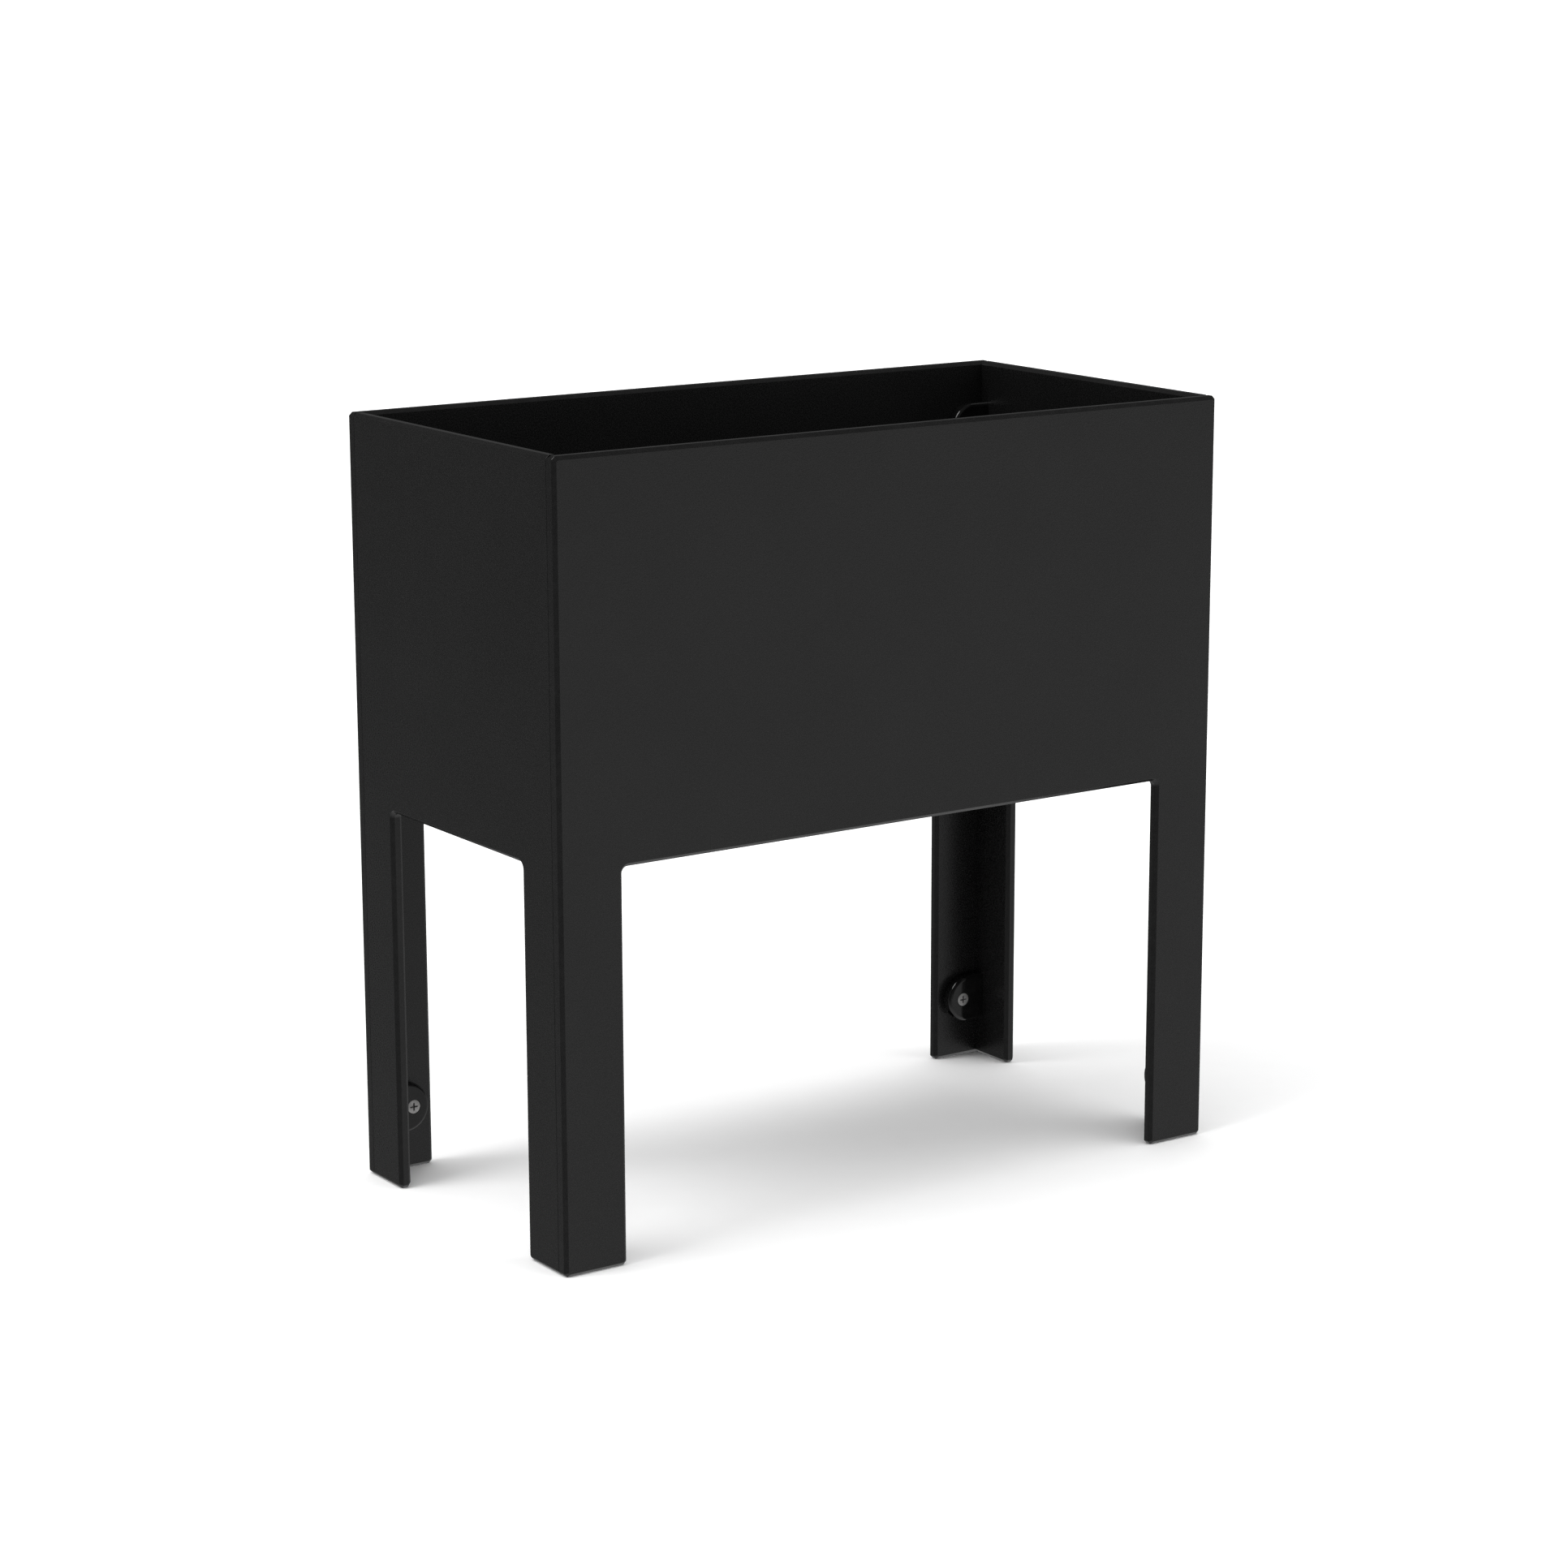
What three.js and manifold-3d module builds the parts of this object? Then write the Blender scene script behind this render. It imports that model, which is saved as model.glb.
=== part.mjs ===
// Raised planter on legs: a box of four bevelled plastic panels whose lower halves are cut away
// into L-shaped legs, with a drained floor and hidden corner brackets.
//
// Millimetres, +Z up. X runs along the long walls, Y from front to back, and the origin is on the
// ground under the middle of the planter.

import * as THREE from "three";
import { mergeVertices } from "three/addons/utils/BufferGeometryUtils.js";
import Module from "manifold-3d";

const wasm = await Module();
wasm.setup();

// Overall box
const WIDTH = 762;
const DEPTH = 381;
const HEIGHT = 762;

// Panels
const SHEET = 12.7; // thickness of every panel
const EDGE_CHAMFER = 3.4; // 45 degree chamfer along every exposed edge
const LEG_WIDTH = 67.6; // each side of a leg, measured from the planter's outer corner
const WINDOW_TOP = 381; // height of the openings between the legs
const WINDOW_RADIUS = 6.35; // upper corners of those openings
const GAP = 0.3; // clearance between pieces that meet

// Corner brackets: thick blocks that lie on a wall, square at the corner and round at the free end
const BRACKET_RADIUS = 25.5; // rounded end, and half the bracket's height
const ROUND_CENTRE = 18.7; // from the bracket's square end to the centre of the rounded end
const BRACKET_THICKNESS = 12.7;
const BRACKET_BEVEL = 3.8; // rounded rim of the face that shows
const BRACKET_INSET = 67.5; // from the ground, or the rim, to the nearest bracket's centre
const BRACKET_MARGIN = 2.5; // from the openings' upper edge to the brackets just above it

// Screws: one through a bracket's face, and one along it from its round end into the next panel
const SCREW_BITE = 8; // depth that a screw reaches into its panel
const TIP_LENGTH = 3;
const HEAD_RIM = 0.5; // straight rim above the head's cone
const FACE_SCREW_OFFSET = 26.7; // from a bracket's square end to the screw's axis
const FACE_HEAD_RADIUS = 7;
const FACE_SHANK_RADIUS = 3.1;
const FACE_RECESS = { width: 1.5, span: 8.4, depth: 2.6 };
const END_SCREW_DROP = 15; // from a bracket's middle down to the screw's axis
const END_SCREW_SEAT = 20; // from the panel it bites into to the top of its head
const END_HEAD_RADIUS = 3.9;
const END_SHANK_RADIUS = 2;
const END_RECESS = { width: 0.9, span: 4.8, depth: 1.6 };

// Floor
const FLOOR_CLEARANCE = 1.5; // all round, between the floor and the walls
const DRAIN_RADIUS = 9.5;
const DRAIN_COLUMNS = 3;
const DRAIN_ROWS = 2;

// Facets of the round shapes
const ROUND_SIDES = 12;
const FILLET_STEPS = 5;
const BEVEL_STEPS = 2;

// Levels and places that follow from the sizes above
const BRACKET_REACH = ROUND_CENTRE + BRACKET_RADIUS;
const MIDDLE_BRACKET = WINDOW_TOP + BRACKET_MARGIN + BRACKET_RADIUS;
const FLOOR_UNDERSIDE = MIDDLE_BRACKET + BRACKET_RADIUS + GAP;
const INNER_HALF_WIDTH = WIDTH / 2 - SHEET;
const INNER_HALF_DEPTH = DEPTH / 2 - SHEET;

const panelMaterial = new THREE.MeshStandardMaterial({ color: 0x1d1e1f, roughness: 0.5, metalness: 0 });
const floorMaterial = new THREE.MeshStandardMaterial({ color: 0x1a1b1c, roughness: 0.6, metalness: 0 });
const bracketMaterial = new THREE.MeshStandardMaterial({ color: 0x141516, roughness: 0.3, metalness: 0 });
const screwMaterial = new THREE.MeshStandardMaterial({ color: 0x9a9b9a, roughness: 0.4, metalness: 0.9 });

// --- Solids -----------------------------------------------------------------------------------

/** A closed geometry as a solid that can be joined and cut, moved by a matrix if one is given. */
function solidOf(geometry, matrix = new THREE.Matrix4()) {
  const bare = geometry.clone().applyMatrix4(matrix);
  bare.deleteAttribute("normal");
  bare.deleteAttribute("uv");
  const merged = mergeVertices(bare);
  return new wasm.Manifold(
    new wasm.Mesh({
      numProp: 3,
      vertProperties: new Float32Array(merged.attributes.position.array),
      triVerts: new Uint32Array(merged.index.array),
    }),
  );
}

/** The geometry of a solid, ready for a mesh. */
function geometryOf(solid) {
  const mesh = solid.getMesh();
  const geometry = new THREE.BufferGeometry();
  geometry.setAttribute("position", new THREE.BufferAttribute(mesh.vertProperties, mesh.numProp));
  geometry.setIndex(new THREE.BufferAttribute(mesh.triVerts, 1));
  geometry.computeVertexNormals();
  return geometry;
}

/** A box between two corners. */
function boxBetween(low, high) {
  const size = new THREE.Vector3().subVectors(high, low);
  const centre = new THREE.Vector3().addVectors(low, high).multiplyScalar(0.5);
  return new THREE.BoxGeometry(size.x, size.y, size.z).translate(centre.x, centre.y, centre.z);
}

/** A plate from z = low to z = high whose outline is bevelled inwards at both faces. */
function bevelledPlate(outline, low, high, bevel, steps) {
  const plate = new THREE.ExtrudeGeometry(outline, {
    depth: high - low - 2 * bevel,
    bevelEnabled: true,
    bevelThickness: bevel,
    bevelSize: bevel,
    bevelOffset: -bevel,
    bevelSegments: steps,
    curveSegments: FILLET_STEPS,
  });
  return plate.translate(0, 0, low + bevel);
}

/** A round solid about +Z from a profile of [radius, height] points that ends on the axis. */
function turned(profile) {
  const points = profile.map(([radius, height]) => new THREE.Vector2(radius, height));
  return new THREE.LatheGeometry(points, ROUND_SIDES).rotateX(Math.PI / 2);
}

/** A placement: turned about X, Y or Z by a quarter turn times `quarters`, then moved. */
function placement(x, y, z, axis = "z", quarters = 0) {
  const angles = { x: 0, y: 0, z: 0, [axis]: (quarters * Math.PI) / 2 };
  return new THREE.Matrix4()
    .makeRotationFromEuler(new THREE.Euler(angles.x, angles.y, angles.z))
    .setPosition(x, y, z);
}

/** A mesh with its own material, placed by a matrix. */
function piece(name, geometry, material, matrix) {
  const mesh = new THREE.Mesh(geometry, material.clone());
  mesh.name = name;
  mesh.applyMatrix4(matrix);
  return mesh;
}

// --- Screws and brackets ----------------------------------------------------------------------

/** The two kinds of screw: how far the head's top stands above the panel, and its own sizes. */
const FACE_SCREW = {
  headTop: BRACKET_THICKNESS + GAP,
  headRadius: FACE_HEAD_RADIUS,
  shankRadius: FACE_SHANK_RADIUS,
  recess: FACE_RECESS,
};
const END_SCREW = {
  headTop: END_SCREW_SEAT,
  headRadius: END_HEAD_RADIUS,
  shankRadius: END_SHANK_RADIUS,
  recess: END_RECESS,
};

/** Half of a screw's outline from its tip up, grown by a clearance and ended at `top`. */
function screwProfile(kind, clearance, top) {
  const shank = kind.shankRadius + clearance;
  const head = kind.headRadius + clearance;
  const coneTop = kind.headTop - HEAD_RIM;
  const coneBottom = coneTop - (head - shank);
  return [
    [0, -SCREW_BITE - clearance],
    [shank, TIP_LENGTH - SCREW_BITE],
    [shank, coneBottom],
    [head, coneTop],
    [head, top],
    [0, top],
  ];
}

/** A countersunk screw: z = 0 is the face of the panel it bites into, +Z points out of it. */
function screwGeometry(kind) {
  const { width, span, depth } = kind.recess;
  const slot = boxBetween(
    new THREE.Vector3(-span / 2, -width / 2, kind.headTop - depth),
    new THREE.Vector3(span / 2, width / 2, kind.headTop + 1),
  );
  const screw = solidOf(turned(screwProfile(kind, 0, kind.headTop)));
  const crossSlot = solidOf(slot, placement(0, 0, 0, "z", 1));
  return geometryOf(screw.subtract(solidOf(slot)).subtract(crossSlot));
}

/** The room that a screw and the way to its head take, which brackets and panels leave free. */
function screwRoom(kind) {
  return turned(screwProfile(kind, GAP, kind.headTop + BRACKET_REACH));
}

/** A bracket's outline: straight at the corner, where x = 0, and round at its free end. */
function bracketOutline() {
  const outline = new THREE.Shape();
  outline.moveTo(-BRACKET_RADIUS, -BRACKET_RADIUS);
  outline.lineTo(ROUND_CENTRE, -BRACKET_RADIUS);
  outline.absarc(ROUND_CENTRE, 0, BRACKET_RADIUS, -Math.PI / 2, Math.PI / 2, false);
  outline.lineTo(-BRACKET_RADIUS, BRACKET_RADIUS);
  outline.closePath();
  return outline;
}

/** Where a bracket's two screws sit on it. `side` is 1, or -1 for a mirrored bracket. */
function screwSeats(side) {
  const along = BRACKET_THICKNESS / 2;
  return {
    a: { kind: FACE_SCREW, seat: placement(side * FACE_SCREW_OFFSET, -GAP, 0, "x", -1) },
    b: { kind: END_SCREW, seat: placement(-side * GAP, along, -END_SCREW_DROP, "y", side) },
  };
}

/** A bracket: it lies on y = 0 and runs along +X from its square end on x = 0. */
function bracketSolid() {
  const hiddenBevel = 2 * BRACKET_BEVEL;
  const plate = bevelledPlate(
    bracketOutline(), -hiddenBevel, BRACKET_THICKNESS, BRACKET_BEVEL, BEVEL_STEPS);
  const reach = BRACKET_REACH + 1;
  const quadrant = boxBetween(
    new THREE.Vector3(0, 0, -reach),
    new THREE.Vector3(reach, reach, reach),
  );
  let bracket = solidOf(plate, placement(0, 0, 0, "x", -1)).intersect(solidOf(quadrant));
  for (const { kind, seat } of Object.values(screwSeats(1))) {
    bracket = bracket.subtract(solidOf(screwRoom(kind), seat));
  }
  return bracket;
}

/**
 * Every bracket's name, frame and side, each kept a gap away from both of its panels. Brackets
 * with side -1 are mirrored, so that the planter mirrors onto itself left to right.
 */
function bracketPlaces() {
  const places = [];
  const add = (name, side, frame) => places.push({ name, side, frame });
  const levels = {
    lower: BRACKET_INSET,
    middle: MIDDLE_BRACKET,
    upper: HEIGHT - BRACKET_INSET,
  };
  const x = INNER_HALF_WIDTH - GAP;
  const y = INNER_HALF_DEPTH - GAP;
  for (const [level, z] of Object.entries(levels)) {
    add(`${level}_front_left`, 1, placement(-x, -y, z, "z", 0));
    add(`${level}_front_right`, -1, placement(x, -y, z, "z", 0));
    add(`${level}_back_right`, 1, placement(x, y, z, "z", 2));
    add(`${level}_back_left`, -1, placement(-x, y, z, "z", 2));
  }
  // Under the floor, a bracket hangs down its wall with its square end against the floor.
  const underFloor = (name, side, px, py, quarters) => {
    const frame = placement(px, py, FLOOR_UNDERSIDE - GAP, "z", quarters);
    add(`floor_${name}`, side, frame.multiply(placement(0, 0, 0, "y", side)));
  };
  underFloor("front_left", 1, -WIDTH / 4, -y, 0);
  underFloor("front_right", -1, WIDTH / 4, -y, 0);
  underFloor("right", 1, x, 0, 1);
  underFloor("back_right", 1, WIDTH / 4, y, 2);
  underFloor("back_left", -1, -WIDTH / 4, y, 2);
  underFloor("left", -1, -x, 0, 3);
  return places;
}

// --- Panels -----------------------------------------------------------------------------------

/** A wall's outline: a round-cornered window below, and small cuts on every outward corner. */
function wallOutline(halfWidth, halfWindow) {
  const cut = EDGE_CHAMFER;
  const round = WINDOW_RADIUS;
  const springing = WINDOW_TOP - round;
  const outline = new THREE.Shape();
  outline.moveTo(-halfWindow - cut, 0);
  outline.lineTo(-halfWindow, cut);
  outline.lineTo(-halfWindow, springing);
  outline.absarc(-halfWindow + round, springing, round, Math.PI, Math.PI / 2, true);
  outline.lineTo(halfWindow - round, WINDOW_TOP);
  outline.absarc(halfWindow - round, springing, round, Math.PI / 2, 0, true);
  outline.lineTo(halfWindow, cut);
  outline.lineTo(halfWindow + cut, 0);
  outline.lineTo(halfWidth - cut, 0);
  outline.lineTo(halfWidth, cut);
  outline.lineTo(halfWidth, HEIGHT - cut);
  outline.lineTo(halfWidth - cut, HEIGHT);
  outline.lineTo(-halfWidth + cut, HEIGHT);
  outline.lineTo(-halfWidth, HEIGHT - cut);
  outline.lineTo(-halfWidth, cut);
  outline.lineTo(-halfWidth + cut, 0);
  outline.closePath();
  return outline;
}

/** A blank for a wall: x across, y up, z = 0 the inner face and z = SHEET the outer one. */
function wallBlank(halfWidth, halfWindow, innerExtra, outerExtra) {
  // Each face's bevel comes from its own plate, which runs on past the other face.
  const runOut = 3 * EDGE_CHAMFER;
  const inner = wallOutline(halfWidth + innerExtra, halfWindow);
  const outer = wallOutline(halfWidth + outerExtra, halfWindow);
  const innerPlate = bevelledPlate(inner, 0, SHEET + runOut, EDGE_CHAMFER, 1);
  const outerPlate = bevelledPlate(outer, -runOut, SHEET, EDGE_CHAMFER, 1);
  const trim = boxBetween(
    new THREE.Vector3(-halfWidth, -1, -runOut),
    new THREE.Vector3(halfWidth, HEIGHT + 1, SHEET + runOut),
  );
  return solidOf(innerPlate).intersect(solidOf(outerPlate)).intersect(solidOf(trim));
}

/** A front or back wall: its ends show, so their outer edges are chamfered too. */
function longWall() {
  return wallBlank(WIDTH / 2, WIDTH / 2 - LEG_WIDTH, 3 * EDGE_CHAMFER, 0);
}

/** A side wall: its square ends are held between the front and back walls. */
function sideWall() {
  const halfWidth = INNER_HALF_DEPTH - GAP;
  const hidden = 3 * EDGE_CHAMFER;
  return wallBlank(halfWidth, DEPTH / 2 - LEG_WIDTH, hidden, hidden);
}

/** The floor, lying on z = 0, with its grid of drain holes. */
function floorBlank() {
  const x = INNER_HALF_WIDTH - FLOOR_CLEARANCE;
  const y = INNER_HALF_DEPTH - FLOOR_CLEARANCE;
  let floor = solidOf(boxBetween(new THREE.Vector3(-x, -y, 0), new THREE.Vector3(x, y, SHEET)));
  const drain = turned([[0, -1], [DRAIN_RADIUS, -1], [DRAIN_RADIUS, SHEET + 1], [0, SHEET + 1]]);
  for (let column = 0; column < DRAIN_COLUMNS; column += 1) {
    for (let row = 0; row < DRAIN_ROWS; row += 1) {
      const px = x * ((2 * column + 1) / DRAIN_COLUMNS - 1);
      const py = y * ((2 * row + 1) / DRAIN_ROWS - 1);
      floor = floor.subtract(solidOf(drain, placement(px, py, 0)));
    }
  }
  return floor;
}

/** A panel's geometry with a pilot hole for each screw that reaches it. */
function drilled(blank, frame, screws) {
  const toPanel = frame.clone().invert();
  let panel = blank;
  for (const screw of screws) {
    const local = toPanel.clone().multiply(screw.frame);
    panel = panel.subtract(solidOf(screwRoom(screw.kind), local));
  }
  return geometryOf(panel);
}

// --- Assembly ---------------------------------------------------------------------------------

/** A wall's frame: upright, its outer face turned away from the middle by quarter turns. */
function wallFrame(x, y, quarters) {
  return placement(x, y, 0, "z", quarters).multiply(placement(0, 0, 0, "x", 1));
}

function buildPlanter() {
  const planter = new THREE.Group();
  const hardware = new THREE.Group();
  const bracket = bracketSolid();
  const bracketGeometries = {
    [1]: geometryOf(bracket),
    [-1]: geometryOf(bracket.mirror([1, 0, 0])),
  };
  const screwGeometries = new Map(
    [FACE_SCREW, END_SCREW].map((kind) => [kind, screwGeometry(kind)]));
  const screws = [];
  for (const { name, side, frame } of bracketPlaces()) {
    hardware.add(piece(`bracket_${name}`, bracketGeometries[side], bracketMaterial, frame));
    for (const [seatName, { kind, seat }] of Object.entries(screwSeats(side))) {
      const screwFrame = frame.clone().multiply(seat);
      const geometry = screwGeometries.get(kind);
      hardware.add(piece(`screw_${name}_${seatName}`, geometry, screwMaterial, screwFrame));
      screws.push({ kind, frame: screwFrame });
    }
  }

  const panels = [
    ["front_panel", longWall(), wallFrame(0, -INNER_HALF_DEPTH, 0), panelMaterial],
    ["right_panel", sideWall(), wallFrame(INNER_HALF_WIDTH, 0, 1), panelMaterial],
    ["back_panel", longWall(), wallFrame(0, INNER_HALF_DEPTH, 2), panelMaterial],
    ["left_panel", sideWall(), wallFrame(-INNER_HALF_WIDTH, 0, 3), panelMaterial],
    ["floor_panel", floorBlank(), placement(0, 0, FLOOR_UNDERSIDE), floorMaterial],
  ];
  for (const [name, blank, frame, material] of panels) {
    planter.add(piece(name, drilled(blank, frame, screws), material, frame));
  }
  planter.add(hardware);
  return planter;
}

const group = buildPlanter();
export default group;
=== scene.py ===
"""Raised planter on legs.

Four bevelled plastic sheets form a box whose lower half is cut away into L-shaped legs. A drained
floor lies above the openings, and moulded corner brackets with countersunk screws hold the sheets
together from inside.

Metres, +Z up. X runs along the long walls and Y from the front wall to the back one. The origin is
on the ground under the middle of the planter.
"""

from __future__ import annotations

import logging
import math
from dataclasses import dataclass
from enum import Enum
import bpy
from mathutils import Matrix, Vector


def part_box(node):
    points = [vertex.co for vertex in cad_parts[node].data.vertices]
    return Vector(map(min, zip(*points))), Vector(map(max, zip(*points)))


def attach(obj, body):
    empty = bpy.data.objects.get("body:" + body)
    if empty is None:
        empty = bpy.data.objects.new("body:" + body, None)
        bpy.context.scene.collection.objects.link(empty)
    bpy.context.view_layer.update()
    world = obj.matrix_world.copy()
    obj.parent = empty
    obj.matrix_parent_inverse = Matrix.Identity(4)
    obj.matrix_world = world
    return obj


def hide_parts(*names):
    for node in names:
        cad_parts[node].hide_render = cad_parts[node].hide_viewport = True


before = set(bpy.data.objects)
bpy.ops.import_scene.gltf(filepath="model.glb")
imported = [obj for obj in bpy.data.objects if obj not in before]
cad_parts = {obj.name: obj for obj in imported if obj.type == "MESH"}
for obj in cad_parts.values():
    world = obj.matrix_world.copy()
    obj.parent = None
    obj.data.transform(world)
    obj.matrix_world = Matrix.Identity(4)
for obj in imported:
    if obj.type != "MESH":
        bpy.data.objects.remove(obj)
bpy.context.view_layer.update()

import bmesh
import bpy
from mathutils import Matrix, Vector

LOG = logging.getLogger("planter")

MM = 0.001
QUARTER_TURN = math.pi / 2
MERGE = 1e-6  # points closer than this become one
SLIVER = 1e-7  # edges shorter than this are dissolved
NIL = 1e-9  # below this a length or a turn counts as none
ARRIS_ANGLE = math.radians(22)  # edges sharper than this are rounded
CRISP_ANGLE = math.radians(34)  # smooth faces stay crisp past this
CUT_ATTRIBUTE = "cut_surface"  # 1 on machined edges, 0 on the moulded faces of a sheet

Point2 = tuple[float, float]
Colour = tuple[float, float, float]
Socket = bpy.types.NodeSocket


# --- Node building ------------------------------------------------------------------------------


class Net:
    """Adds nodes to one node tree and joins them."""

    def __init__(self, tree: bpy.types.NodeTree) -> None:
        """Works on this tree."""
        self.tree = tree

    def feed(self, target: Socket, value: object) -> None:
        """Links a socket to an input, or sets the input to a plain value.

        Args:
            target: The input.
            value: The value, or the socket to link.
        """
        if isinstance(value, bpy.types.NodeSocket):
            self.tree.links.new(value, target)
        else:
            target.default_value = value

    def add(
        self, kind: str, inputs: dict[str | int, object] | None = None, **settings: object
    ) -> bpy.types.Node:
        """Adds a node.

        Args:
            kind: The node's type name.
            inputs: Values, or sockets to link, by input name or number.
            **settings: The node's own properties.

        Returns:
            The new node.
        """
        node = self.tree.nodes.new(kind)
        for name, value in settings.items():
            setattr(node, name, value)
        for key, value in (inputs or {}).items():
            self.feed(node.inputs[key], value)
        return node

    def math(self, operation: str, *values: object) -> Socket:
        """The result of a Math node on numbers or sockets."""
        numbered = dict(enumerate(values))
        return self.add("ShaderNodeMath", numbered, operation=operation).outputs[0]

    def product(self, first: object, *others: object) -> Socket:
        """Multiplies two or more numbers or sockets.

        Args:
            first: The first of them.
            *others: The rest.

        Returns:
            The product's socket.
        """
        for other in others:
            first = self.math("MULTIPLY", first, other)
        return first

    def sign(self, flag: Socket, at_zero: float = 1.0) -> Socket:
        """Gives at_zero where the flag is 0, and its opposite where the flag is 1."""
        return self.math("MULTIPLY_ADD", flag, -2.0 * at_zero, at_zero)

    def point(self, x: object = 0.0, y: object = 0.0, z: object = 0.0) -> Socket:
        """A vector of three numbers or sockets."""
        return self.add("ShaderNodeCombineXYZ", {0: x, 1: y, 2: z}).outputs[0]

    def place(self) -> Socket:
        """The place on the piece, in its own coordinates."""
        return self.add("ShaderNodeTexCoord").outputs["Object"]

    def noise(self, place: Socket, scale: object, detail: float, roughness: float = 0.5) -> Socket:
        """A noise texture.

        Args:
            place: Where on the piece.
            scale: How fine the noise is.
            detail: How many finer layers it has.
            roughness: How strong the finer layers are.

        Returns:
            The noise's socket, about 0.5 on average.
        """
        inputs = {"Vector": place, "Scale": scale, "Detail": detail, "Roughness": roughness}
        return self.add("ShaderNodeTexNoise", inputs).outputs["Fac"]

    def ramp(self, value: Socket, span: Point2, out: Point2 = (0.0, 1.0)) -> Socket:
        """Maps a value smoothly from one range to another.

        Args:
            value: The socket to map.
            span: The values that give the start and the end of the range put out.
            out: The range put out.

        Returns:
            The mapped value's socket.
        """
        inputs = {"Value": value, "From Min": span[0], "From Max": span[1]}
        inputs |= {"To Min": out[0], "To Max": out[1]}
        node = self.add("ShaderNodeMapRange", inputs, interpolation_type="SMOOTHSTEP")
        return node.outputs["Result"]

    def blend(self, factor: Socket, first: Socket | Colour, second: Socket | Colour) -> Socket:
        """Mixes two colours.

        Args:
            factor: 0 gives the first colour and 1 the second.
            first: A colour or a socket.
            second: A colour or a socket.

        Returns:
            The mixed colour's socket.
        """
        node = self.add("ShaderNodeMix", {0: factor}, data_type="RGBA")
        for key, value in ((6, first), (7, second)):
            self.feed(node.inputs[key], (*value, 1.0) if isinstance(value, tuple) else value)
        return node.outputs[2]


def new_group(
    name: str, inputs: dict[str, float], outputs: list[str]
) -> tuple[Net, bpy.types.Node, bpy.types.Node]:
    """Starts a shader node group with number sockets.

    Args:
        name: The group's name.
        inputs: Each number input and its default.
        outputs: The names of the number outputs.

    Returns:
        The net to build in, the group's input node and its output node.
    """
    tree = bpy.data.node_groups.new(name, "ShaderNodeTree")
    for socket, value in inputs.items():
        made = tree.interface.new_socket(socket, in_out="INPUT", socket_type="NodeSocketFloat")
        made.default_value = value
    for socket in outputs:
        tree.interface.new_socket(socket, in_out="OUTPUT", socket_type="NodeSocketFloat")
    net = Net(tree)
    return net, net.add("NodeGroupInput"), net.add("NodeGroupOutput")


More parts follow.
